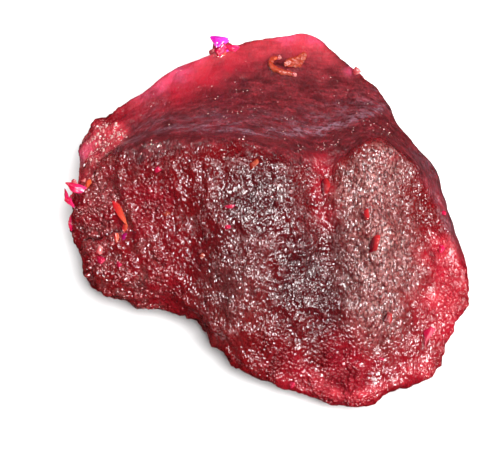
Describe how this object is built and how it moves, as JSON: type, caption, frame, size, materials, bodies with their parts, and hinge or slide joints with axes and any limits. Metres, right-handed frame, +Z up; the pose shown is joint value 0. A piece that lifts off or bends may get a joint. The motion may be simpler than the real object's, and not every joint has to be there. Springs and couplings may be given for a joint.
{
  "type": "raw ruby crystal",
  "caption": "Rough chunk of raw ruby: a granular broken slope below a crest, a smooth shell-shaped hollow behind it, thin edges and a flat parting face it lies on.",
  "frame": {"origin": "centre of the bounding box's bottom, on the surface the stone lies on", "axes": "+Z up from the flat parting face, +X towards the stone's narrow right end, +Y from the granular slope towards the thin rim of the hollow"},
  "size_m": [0.046, 0.0462, 0.0196],
  "materials": {
    "ruby": "translucent deep red, broken and granular, glossy points on a dull rosy sheen"
  },
  "bodies": {
    "root": {"ruby_crystal": "ruby"}
  },
  "joints": []
}
